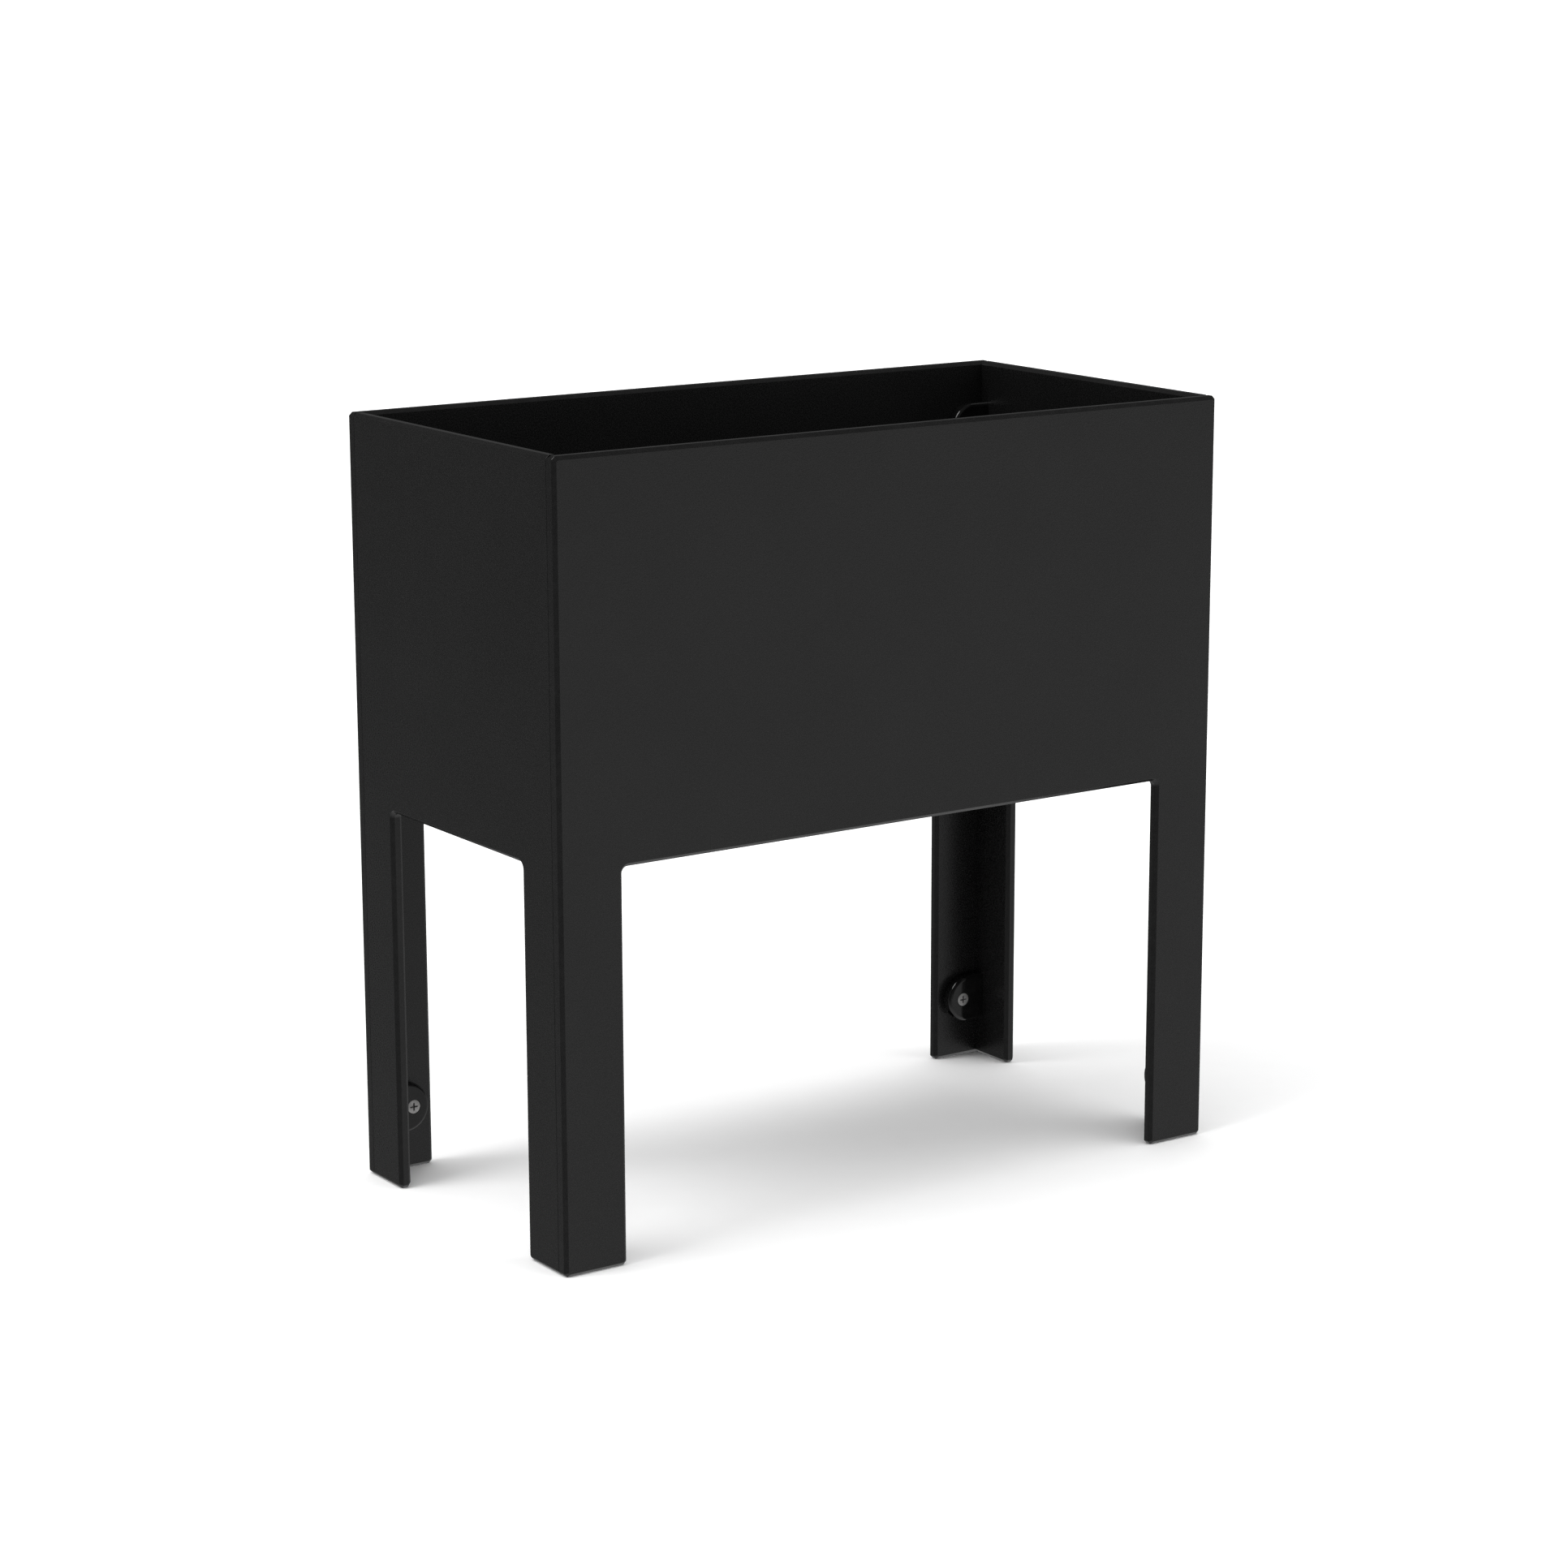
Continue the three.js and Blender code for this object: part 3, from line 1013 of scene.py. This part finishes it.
def corner_pattern() -> Pattern:
    """Repeats a shape in the four inside corners: along both long walls, mirrored on the right.

    Returns:
        The pattern.
    """
    pattern = Pattern("in_four_corners", {"Half Width": 0.3, "Half Depth": 0.2, "Height": 0.1})
    net, given, index = pattern.net, pattern.given, pattern.index()
    # A corner's direction: 225 degrees for the front left one, then a quarter turn for each.
    angle = net.math("MULTIPLY_ADD", index, QUARTER_TURN, math.radians(225))
    root = math.sqrt(2)
    x = net.product(net.math("COSINE", angle), root, given["Half Width"])
    y = net.product(net.math("SINE", angle), root, given["Half Depth"])
    turns = net.product(net.math("GREATER_THAN", index, 1.5), 2.0)
    hand = net.sign(net.math("MODULO", index, 2.0))
    pattern.finish(pattern.repeat(4, net.point(x, y, given["Height"]), turns, hand))
    return pattern


def under_floor_pattern() -> Pattern:
    """Repeats a shape along the inside walls: two on each long wall and one on each side wall.

    Returns:
        The pattern.
    """
    sizes = {"Half Width": 0.3, "Half Depth": 0.2, "Height": 0.4, "Half Spacing": 0.19}
    pattern = Pattern("along_the_walls", sizes)
    net, given, index = pattern.net, pattern.given, pattern.index()
    # Long walls: numbers 0 and 1 are at the front, 2 and 3 at the back.
    at_back = net.math("GREATER_THAN", index, 1.5)
    odd = net.math("MODULO", index, 2.0)
    along = net.product(net.sign(odd, -1.0), given["Half Spacing"])
    across = net.product(net.sign(at_back, -1.0), given["Half Depth"])
    long_place = net.point(along, across, given["Height"])
    long_hand = net.product(net.sign(odd), net.sign(at_back))
    # Side walls: number 0 is on the right, 1 on the left.
    side_hand = net.sign(index)
    side_place = net.point(net.product(side_hand, given["Half Width"]), 0.0, given["Height"])
    side_turns = net.math("MULTIPLY_ADD", index, 2.0, 1.0)
    pattern.finish(
        pattern.repeat(4, long_place, net.product(at_back, 2.0), long_hand),
        pattern.repeat(2, side_place, side_turns, side_hand),
    )
    return pattern


def drain_pattern() -> Pattern:
    """Repeats one drained tile of the floor in a grid, and closes it into one board.

    Returns:
        The pattern.
    """
    sizes = {"Columns": 3.0, "Rows": 2.0, "Tile Width": 0.2, "Tile Depth": 0.1}
    pattern = Pattern("drained_tiles", sizes)
    net, given, index = pattern.net, pattern.given, pattern.index()
    columns, rows = given["Columns"], given["Rows"]
    column = net.math("MODULO", index, columns)
    row = net.math("FLOOR", net.math("DIVIDE", index, columns))
    middles = [net.product(net.math("SUBTRACT", many, 1.0), 0.5) for many in (columns, rows)]
    x = net.product(net.math("SUBTRACT", column, middles[0]), given["Tile Width"])
    y = net.product(net.math("SUBTRACT", row, middles[1]), given["Tile Depth"])
    copies = pattern.repeat(net.product(columns, rows), net.point(x, y), 0.0)
    pattern.finish(copies, merge=10 * MERGE)
    return pattern


# --- Floor --------------------------------------------------------------------------------------


@dataclass
class DrainedFloor:
    """The floor: a sheet of equal tiles, each with a drain hole with eased rims."""

    sizes: PlanterSizes
    columns: int = 3
    rows: int = 2
    drain_radius: float = 9.5 * MM
    rim: float = 1.2 * MM
    rim_steps: int = 4
    round_sides: int = 48
    arris: float = 0.8 * MM

    def tile(self) -> bpy.types.Mesh:
        """One tile round its drain: top and bottom, with the drain's wall between them.

        Returns:
            The tile's mesh, open at its rim.
        """
        half_x = self.sizes.floor_half_width / self.columns
        half_y = self.sizes.floor_half_depth / self.rows
        corner = math.atan2(half_y, half_x)
        angles = [math.tau * i / self.round_sides for i in range(self.round_sides)]
        angles += [corner, math.pi - corner, math.pi + corner, math.tau - corner]
        directions = [Vector((math.cos(a), math.sin(a), 0.0)) for a in sorted(angles)]
        low, high = self.sizes.floor_underside, self.sizes.floor_underside + self.sizes.sheet

        edge = [
            min(half_x / max(abs(d.x), NIL), half_y / max(abs(d.y), NIL)) for d in directions
        ]
        drain = []
        for step in range(self.rim_steps + 1):
            turn = QUARTER_TURN * step / self.rim_steps
            radius = self.drain_radius + self.rim * (1 - math.sin(turn))
            drain.append(([radius] * len(directions), self.rim * (1 - math.cos(turn))))
        levels = [(edge, high)] + [(reach, high - drop) for reach, drop in drain]
        levels += [(reach, low + drop) for reach, drop in drain[::-1]] + [(edge, low)]
        shell = Shell()
        rings = []
        for reach, z in levels:
            points = [d * r + Vector((0.0, 0.0, z)) for d, r in zip(directions, reach)]
            rings.append(shell.ring(points))
        shell.bands(rings, [0.0, *[1.0] * (len(rings) - 3), 0.0])
        return shell.mesh("floor_tile")

    def build(self, finishes: Finishes) -> bpy.types.Object:
        """Makes the floor from its tiles, closes its rim and dresses it.

        Args:
            finishes: The planter's materials.

        Returns:
            The floor's object.
        """
        sizes = {
            "Columns": float(self.columns),
            "Rows": float(self.rows),
            "Tile Width": 2 * self.sizes.floor_half_width / self.columns,
            "Tile Depth": 2 * self.sizes.floor_half_depth / self.rows,
        }
        piece = drain_pattern().grown("drained_floor", self.tile(), finishes.floor, sizes)
        self._close_rim(piece.data)
        round_arrises(piece, self.arris, 3)
        hand_over(piece, Slot.SHEET, ["floor_panel"])
        return piece

    def _close_rim(self, data: bpy.types.Mesh) -> None:
        """Joins the board's upper and lower rims with its four narrow sides.

        Args:
            data: The board's mesh, open at its rim.
        """
        shape = bmesh.new()
        shape.from_mesh(data)
        cut = shape.faces.layers.float.get(CUT_ATTRIBUTE)
        rim = [edge for edge in shape.edges if len(edge.link_faces) == 1]
        made = bmesh.ops.bridge_loops(shape, edges=rim)
        for face in made["faces"]:
            face.smooth = True
            face[cut] = 1.0
        bmesh.ops.recalc_face_normals(shape, faces=shape.faces)
        shape.to_mesh(data)
        shape.free()


# --- Brackets and screws ------------------------------------------------------------------------


class Level(Enum):
    """Where brackets sit."""

    LOWER = "lower"
    MIDDLE = "middle"
    UPPER = "upper"
    FLOOR = "floor"


EASED = 0.3  # where an eased edge's middle point lies, from the corner to its ends
CORNERS = ["front_left", "front_right", "back_right", "back_left"]
FLOOR_PLACES = ["front_left", "front_right", "right", "back_right", "back_left", "left"]


@dataclass
class Bracket:
    """A moulded block that lies on a wall: square at the corner and round at its free end.

    It lies on y = 0 and runs along +X from its square end on x = 0. One screw goes down through
    its face, and a smaller one runs along it, from a bore in the round end into the next panel.
    """

    radius: float = 25.5 * MM
    round_centre: float = 18.7 * MM
    thickness: float = 12.7 * MM
    bevel: float = 3.8 * MM
    ease: float = 0.4 * MM
    screw_offset: float = 26.7 * MM
    hole_radius: float = 7.3 * MM
    shank_radius: float = 3.4 * MM
    hole_depth: float = 0.5 * MM
    end_drop: float = 15.0 * MM
    end_seat: float = 19.7 * MM
    end_radius: float = 4.2 * MM
    end_shank_radius: float = 2.3 * MM
    arc_steps: int = 48
    straight_steps: int = 6
    bevel_steps: int = 8
    bore_sides: int = 40
    bore_overrun: float = 2.0 * MM

    def profile(self) -> list[tuple[float, float]]:
        """The block's edge, from its hidden face to the one that shows.

        Returns:
            Each point's height over the panel, and how far it is drawn in.
        """
        points = [(0.0, 2 * self.ease), (0.0, self.ease)]
        points += [(self.ease * EASED, self.ease * EASED), (self.ease, 0.0)]
        side = self.thickness - self.bevel
        points.append((side - self.ease, 0.0))
        for step in range(self.bevel_steps + 1):
            turn = QUARTER_TURN * step / self.bevel_steps
            inset = self.bevel * (1 - math.cos(turn))
            points.append((side + self.bevel * math.sin(turn), inset))
        points.append((self.thickness, self.bevel + self.ease))
        return points

    def outline(self, height: float, inset: float, end: float) -> list[Vector]:
        """The block's outline at one height above the panel.

        Args:
            height: The distance from the panel's side of the block.
            inset: How far the outline is drawn in, except at the square end.
            end: How far the square end is drawn in.

        Returns:
            The points from the square end's top, round the free end, and back up the square end.
        """
        reach = self.radius - inset
        points = []
        for step in range(self.straight_steps):
            x = end + (self.round_centre - end) * step / self.straight_steps
            points.append(Vector((x, height, reach)))
        for step in range(self.arc_steps + 1):
            angle = QUARTER_TURN - math.pi * step / self.arc_steps
            x = self.round_centre + reach * math.cos(angle)
            points.append(Vector((x, height, reach * math.sin(angle))))
        for step in range(1, self.straight_steps + 1):
            x = self.round_centre + (end - self.round_centre) * step / self.straight_steps
            points.append(Vector((x, height, -reach)))
        for step in range(1, 2 * self.straight_steps):
            z = reach * (step / self.straight_steps - 1)
            points.append(Vector((end, height, z)))
        return points

    def block(self) -> bpy.types.Mesh:
        """The block with the countersunk hole in its face.

        Returns:
            The block's mesh.
        """
        shell = Shell()
        levels = self.profile()
        rings = []
        for height, inset in levels:
            end = max(0.0, inset - self.bevel) if height > self.ease else inset
            rings.append(shell.ring(self.outline(height, inset, end)))
        shell.bands(rings[::-1], [0.0] * len(rings))
        centre = Vector((self.screw_offset, 0.0, 0.0))
        cone_top = self.thickness - self.hole_depth
        cone_bottom = cone_top - (self.hole_radius - self.shank_radius)
        lip = self.ease * 0.4
        hole = [
            (self.thickness, self.hole_radius + 2 * lip),
            (self.thickness, self.hole_radius + lip),
            (self.thickness - EASED * lip, self.hole_radius + EASED * lip),
            (self.thickness - lip, self.hole_radius),
            (cone_top, self.hole_radius),
            (cone_bottom, self.shank_radius),
            (0.0, self.shank_radius),
        ]
        circles = []
        for height, radius in hole:
            points = []
            for number in rings[-1]:
                away = shell.points[number] - centre
                away.y = 0.0
                points.append(centre + away.normalized() * radius + Vector((0.0, height, 0.0)))
            circles.append(shell.ring(points))
        shell.band(circles[0], rings[-1], 0.0)
        shell.bands(circles[::-1], [1.0] * len(circles))
        shell.band(rings[0], circles[-1], 0.0)
        return shell.mesh("bracket_block")

    def bore(self) -> bpy.types.Mesh:
        """The room of the end screw and of the driver that reaches it.

        Returns:
            The bore as a solid.
        """
        cone = self.end_radius - self.end_shank_radius
        depth = self.end_seat - self.hole_depth
        past = self.bore_overrun
        profile = [
            (self.round_centre + self.radius + past, self.end_radius),
            (depth, self.end_radius),
            (depth - cone, self.end_shank_radius),
            (-past, self.end_shank_radius),
        ]
        shell = Shell()
        rings = []
        for x, radius in profile:
            ring = []
            for step in range(self.bore_sides):
                turn = math.tau * step / self.bore_sides
                y = self.thickness / 2 + radius * math.cos(turn)
                ring.append(Vector((x, y, radius * math.sin(turn) - self.end_drop)))
            rings.append(shell.ring(ring))
        shell.bands(rings, [1.0] * len(rings))
        shell.face(rings[0], 1.0)
        shell.face(rings[-1][::-1], 1.0)
        return shell.mesh("bracket_bore")

    def mesh(self) -> bpy.types.Mesh:
        """The whole bracket: the block less the bore.

        Returns:
            The bracket's mesh.
        """
        made = []
        for data in (self.block(), self.bore()):
            face_outwards(data)
            part = bpy.data.objects.new(data.name, data)
            bpy.context.scene.collection.objects.link(part)
            made.append(part)
        block, bore = made
        cut = block.modifiers.new("bore", "BOOLEAN")
        cut.operation = "DIFFERENCE"
        cut.solver = "EXACT"
        cut.object = bore
        graph = bpy.context.evaluated_depsgraph_get()
        data = bpy.data.meshes.new_from_object(block.evaluated_get(graph), depsgraph=graph)
        for part in made:
            mesh = part.data
            bpy.data.objects.remove(part)
            bpy.data.meshes.remove(mesh)
        data.materials.clear()
        return data


@dataclass
class Screw:
    """A countersunk screw with a tapered cross recess. Its axis is Z, from the panel's face."""

    head_top: float = 13.0 * MM
    head_radius: float = 7.0 * MM
    head_rim: float = 0.5 * MM
    shank_radius: float = 3.1 * MM
    root_radius: float = 2.35 * MM
    bite: float = 8.0 * MM
    tip: float = 3.0 * MM
    point_radius: float = 0.3 * MM
    thread_pitch: float = 1.3 * MM
    recess_width: float = 1.5 * MM
    recess_span: float = 8.4 * MM
    recess_depth: float = 2.6 * MM

    def cross(self, span: float, width: float, z: float) -> list[Vector]:
        """A cross-shaped ring of points.

        Args:
            span: From end to end of an arm.
            width: Across an arm.
            z: The ring's height.

        Returns:
            The points, counterclockwise, as many for each quarter.
        """
        half, arm = span / 2, width / 2
        # An arm's end is slightly crowned, and the arms run into each other in a small curve.
        throat = min(arm * 1.9, half * 0.8)
        quarter = [(half * 0.97, -arm), (half, -arm * 0.5), (half, 0.0), (half, arm * 0.5)]
        quarter += [(half * 0.97, arm), (throat, arm * 1.04), (arm * 1.22, arm * 1.22)]
        quarter += [(arm * 1.04, throat)]
        points = []
        for turn in range(4):
            spin = Matrix.Rotation(turn * QUARTER_TURN, 4, "Z")
            points += [spin @ Vector((x, y, 0.0)) + Vector((0.0, 0.0, z)) for x, y in quarter]
        return points

    def round_profile(self) -> list[tuple[float, float]]:
        """The screw's outside, from its head's rim down to its tip.

        Returns:
            Each point's radius and height.
        """
        top = self.head_top
        cone_top = top - self.head_rim
        neck = cone_top - (self.head_radius - self.shank_radius)
        ease = self.head_rim * 0.4
        profile = [
            (self.head_radius - ease, top),
            (self.head_radius - ease * EASED, top - ease * EASED),
            (self.head_radius, top - ease),
            (self.head_radius, cone_top),
            (self.shank_radius, neck),
            (self.shank_radius, 0.4 * self.thread_pitch),
        ]
        # Each turn of the thread: its root, then the two edges of its crest, in pitches down.
        z = 0.0
        while z - self.thread_pitch > -(self.bite - self.tip):
            profile += [
                (self.root_radius, z - 0.35 * self.thread_pitch),
                (self.shank_radius, z - 0.75 * self.thread_pitch),
                (self.shank_radius, z - 0.85 * self.thread_pitch),
            ]
            z -= self.thread_pitch
        profile.append((self.root_radius, z - 0.4 * self.thread_pitch))
        return [*profile, (self.point_radius, -self.bite)]

    def mesh(self) -> bpy.types.Mesh:
        """The screw, from its recess's bottom over the head and down to the tip.

        Returns:
            The screw's mesh.
        """
        shell = Shell()
        mouth = self.cross(self.recess_span, self.recess_width, self.head_top)
        directions = [Vector((p.x, p.y, 0.0)).normalized() for p in mouth]
        rings = []
        # The recess's levels: the share of its depth, of its span and of its arms' width.
        tapers = [(1.0, 0.30, 0.55), (0.62, 0.52, 0.75), (0.12, 0.93, 0.94), (0.0, 1.0, 1.08)]
        for down, span, width in tapers:
            z = self.head_top - self.recess_depth * down
            points = self.cross(self.recess_span * span, self.recess_width * width, z)
            rings.append(shell.ring(points))
        for radius, height in self.round_profile():
            rings.append(shell.ring([d * radius + Vector((0, 0, height)) for d in directions]))
        recess = len(tapers) - 1
        cuts = [0.0] * (len(rings) - 1 - recess) + [1.0] * recess
        shell.bands(rings[::-1], cuts)
        shell.face(rings[0], 1.0)
        shell.face(rings[-1][::-1])
        return shell.mesh("screw_shape")


@dataclass
class Hardware:
    """Every bracket and screw of one level."""

    level: Level
    sizes: PlanterSizes
    height: float
    bracket: Bracket
    face_screw: Screw
    end_screw: Screw

    def names(self, prefix: str, ends: list[str]) -> list[str]:
        """The CAD nodes of this level.

        Args:
            prefix: "bracket" or "screw".
            ends: What each node's name ends with, such as "_a".

        Returns:
            The node names.
        """
        places = FLOOR_PLACES if self.level is Level.FLOOR else CORNERS
        return [f"{prefix}_{self.level.value}_{place}{end}" for place in places for end in ends]

    def screw_pair(self) -> bpy.types.Mesh:
        """The two screws of one bracket, in the bracket's own frame.

        Returns:
            The screws as one mesh.
        """
        gap, bracket = self.sizes.gap, self.bracket
        down = Matrix.Translation((bracket.screw_offset, -gap, 0.0))
        along = Matrix.Translation((-gap, bracket.thickness / 2, -bracket.end_drop))
        shape = bmesh.new()
        for screw, matrix in (
            (self.face_screw, down @ Matrix.Rotation(-QUARTER_TURN, 4, "X")),
            (self.end_screw, along @ Matrix.Rotation(QUARTER_TURN, 4, "Y")),
        ):
            one = screw.mesh()
            one.transform(matrix)
            shape.from_mesh(one)
            bpy.data.meshes.remove(one)
        data = bpy.data.meshes.new("screw_pair")
        shape.to_mesh(data)
        shape.free()
        return data

    def build(self, finishes: Finishes, pattern: Pattern) -> None:
        """Makes this level's brackets and screws and dresses them.

        Args:
            finishes: The planter's materials.
            pattern: The tree that puts a bracket in each of its places.
        """
        sizes = {
            "Half Width": self.sizes.inner_half_width - self.sizes.gap,
            "Half Depth": self.sizes.inner_half_depth - self.sizes.gap,
            "Height": self.height,
        }
        shapes = [self.bracket.mesh(), self.screw_pair()]
        if self.level is Level.FLOOR:
            sizes["Half Spacing"] = self.sizes.half_width / 2
            hanging = Matrix.Rotation(QUARTER_TURN, 4, "Y")
            for shape in shapes:
                shape.transform(hanging)
        name = self.level.value
        brackets = pattern.grown(f"{name}_brackets", shapes[0], finishes.bracket, sizes)
        mark_sharp(brackets.data)
        hand_over(brackets, Slot.BRACKET, self.names("bracket", [""]))
        screws = pattern.grown(f"{name}_screws", shapes[1], finishes.screw, sizes)
        mark_sharp(screws.data)
        hand_over(screws, Slot.SCREW, self.names("screw", ["_a", "_b"]))


def mark_sharp(data: bpy.types.Mesh) -> None:
    """Keeps a mesh's faces smooth but its sharper edges crisp."""
    data.shade_smooth()
    data.set_sharp_from_angle(angle=CRISP_ANGLE)


# --- Studio -------------------------------------------------------------------------------------


@dataclass
class SoftLight:
    """A plain soft light from far away, which whitens the floor and casts the soft shadows.

    Its angles are in degrees, and its azimuth turns from the front to the right.
    """

    name: str
    azimuth: float
    elevation: float
    spread: float
    strength: float
    mirrored: bool = False  # whether gloss shows it
    distance: float = 4.0

    def build(self) -> None:
        """Sets the light up."""
        data = bpy.data.lights.new(self.name, "SUN")
        data.energy = self.strength
        data.angle = math.radians(self.spread)
        lamp = bpy.data.objects.new(self.name, data)
        bpy.context.scene.collection.objects.link(lamp)
        a, e = math.radians(self.azimuth), math.radians(self.elevation)
        back = Vector((math.sin(a) * math.cos(e), -math.cos(a) * math.cos(e), math.sin(e)))
        lamp.location = back * self.distance
        lamp.rotation_euler = back.to_track_quat("Z", "Y").to_euler()
        lamp.visible_glossy = self.mirrored


LIGHTS = (
    SoftLight("left_light", azimuth=-98, elevation=52, spread=30, strength=1.5, mirrored=True),
    SoftLight("front_light", azimuth=41, elevation=20, spread=60, strength=1.08),
    SoftLight("top_light", azimuth=0, elevation=89, spread=43, strength=0.77),
)


@dataclass
class Studio:
    """A white floor, plain soft lights and the camera.

    The camera's angles are in degrees, its lens in millimetres, and the sky and what gloss
    mirrors round the planter are strengths of plain white light.
    """

    floor_radius: float = 120.0
    camera_place: tuple[float, float, float] = (-2.14216, -3.13603, 1.23944)
    camera_yaw: float = 34.904
    camera_pitch: float = 13.0127
    lens: float = 90.075
    sensor: float = 36.0
    shift: Point2 = (-0.02787, 0.01351)
    sight: float = 400.0
    sky: float = 0.886
    dim_sky: float = 0.10
    room: float = 0.11
    window: float = 0.35
    ground: float = 0.5
    window_direction: tuple[float, float, float] = (0.57, -0.82, 0.0)
    window_span: Point2 = (0.1, 0.95)  # from beside the window to its middle
    room_span: Point2 = (0.05, 0.40)  # the rest are steps down from the horizon
    pale_span: Point2 = (-0.10, 0.10)
    ground_span: Point2 = (0.35, 0.8)

    def build(self) -> None:
        """Sets the scene up."""
        self._floor()
        self._surround()
        for light in LIGHTS:
            light.build()
        self._camera()
        bpy.context.scene.view_settings.view_transform = "Standard"

    def _floor(self) -> None:
        """A round white floor whose middle is under the planter."""
        surface = Surface("studio_floor", specular=0.1)
        speckle = surface.net.noise(surface.net.place(), 30.0, 3.0)
        surface.paint(surface.net.blend(speckle, grey(0.90), grey(0.92)))
        surface.shader.inputs["Roughness"].default_value = 0.9
        shape = bmesh.new()
        bmesh.ops.create_circle(shape, cap_ends=True, segments=64, radius=self.floor_radius)
        data = bpy.data.meshes.new("studio_floor")
        shape.to_mesh(data)
        shape.free()
        floor = new_object("studio_floor", data, surface.material)
        floor.visible_glossy = False

    def _surround(self) -> None:
        """A plain surround: an even sky, and below it a pale room that is brightest in front."""
        world = bpy.data.worlds.new("studio")
        world.use_nodes = True
        net = Net(world.node_tree)
        shade = world.node_tree.nodes["Background"]
        direction = net.add("ShaderNodeTexCoord").outputs["Generated"]
        facing = {0: direction, 1: self.window_direction}
        towards = net.add("ShaderNodeVectorMath", facing, operation="DOT_PRODUCT").outputs["Value"]
        front = net.ramp(towards, self.window_span)
        behind = net.math("SUBTRACT", 1.0, front)
        down = net.product(net.add("ShaderNodeSeparateXYZ", {0: direction}).outputs[2], -1.0)
        room = net.product(net.ramp(down, self.room_span), behind, self.room)
        window = net.product(net.ramp(down, self.pale_span), front, self.window)
        ground = net.ramp(down, self.ground_span, (self.dim_sky, self.ground))
        mirrored = net.math("ADD", net.math("ADD", room, window), ground)
        glossy = net.add("ShaderNodeLightPath").outputs["Is Glossy Ray"]
        level = net.add("ShaderNodeMix", {0: glossy, 2: self.sky, 3: mirrored}).outputs[0]
        shade.inputs["Color"].default_value = (1.0, 1.0, 1.0, 1.0)
        net.feed(shade.inputs["Strength"], level)
        bpy.context.scene.world = world

    def _camera(self) -> None:
        """The camera, looking down at the front and the left side."""
        data = bpy.data.cameras.new("camera")
        data.lens, data.sensor_width = self.lens, self.sensor
        data.shift_x, data.shift_y = self.shift
        data.clip_end = self.sight
        camera = bpy.data.objects.new("camera", data)
        camera.location = self.camera_place
        pitch, yaw = math.radians(self.camera_pitch), math.radians(self.camera_yaw)
        camera.rotation_euler = (QUARTER_TURN - pitch, 0.0, -yaw)
        bpy.context.scene.collection.objects.link(camera)
        bpy.context.scene.camera = camera


# --- Assembly -----------------------------------------------------------------------------------


def main() -> None:
    """Builds the planter and the studio round it."""
    logging.basicConfig(level=logging.INFO, format="%(message)s")
    sizes = PlanterSizes.measured()
    finishes = Finishes.made()
    for side in Side:
        Wall(side, sizes).build(finishes)
    DrainedFloor(sizes).build(finishes)

    bracket, face_screw = Bracket(), Screw()
    end_screw = Screw(
        head_top=20.0 * MM,
        head_radius=3.9 * MM,
        shank_radius=2.0 * MM,
        root_radius=1.5 * MM,
        thread_pitch=1.0 * MM,
        recess_width=0.9 * MM,
        recess_span=4.8 * MM,
        recess_depth=1.6 * MM,
    )
    kit = (bracket, face_screw, end_screw)
    corners = corner_pattern()
    boxes = {level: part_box(f"bracket_{level.value}_front_left") for level in Level}
    for level in (Level.LOWER, Level.MIDDLE, Level.UPPER):
        low, high = boxes[level]
        Hardware(level, sizes, (low.z + high.z) / 2, *kit).build(finishes, corners)
    under = boxes[Level.FLOOR][1].z
    Hardware(Level.FLOOR, sizes, under, *kit).build(finishes, under_floor_pattern())
    Studio().build()


if __name__ == "__main__":
    main()
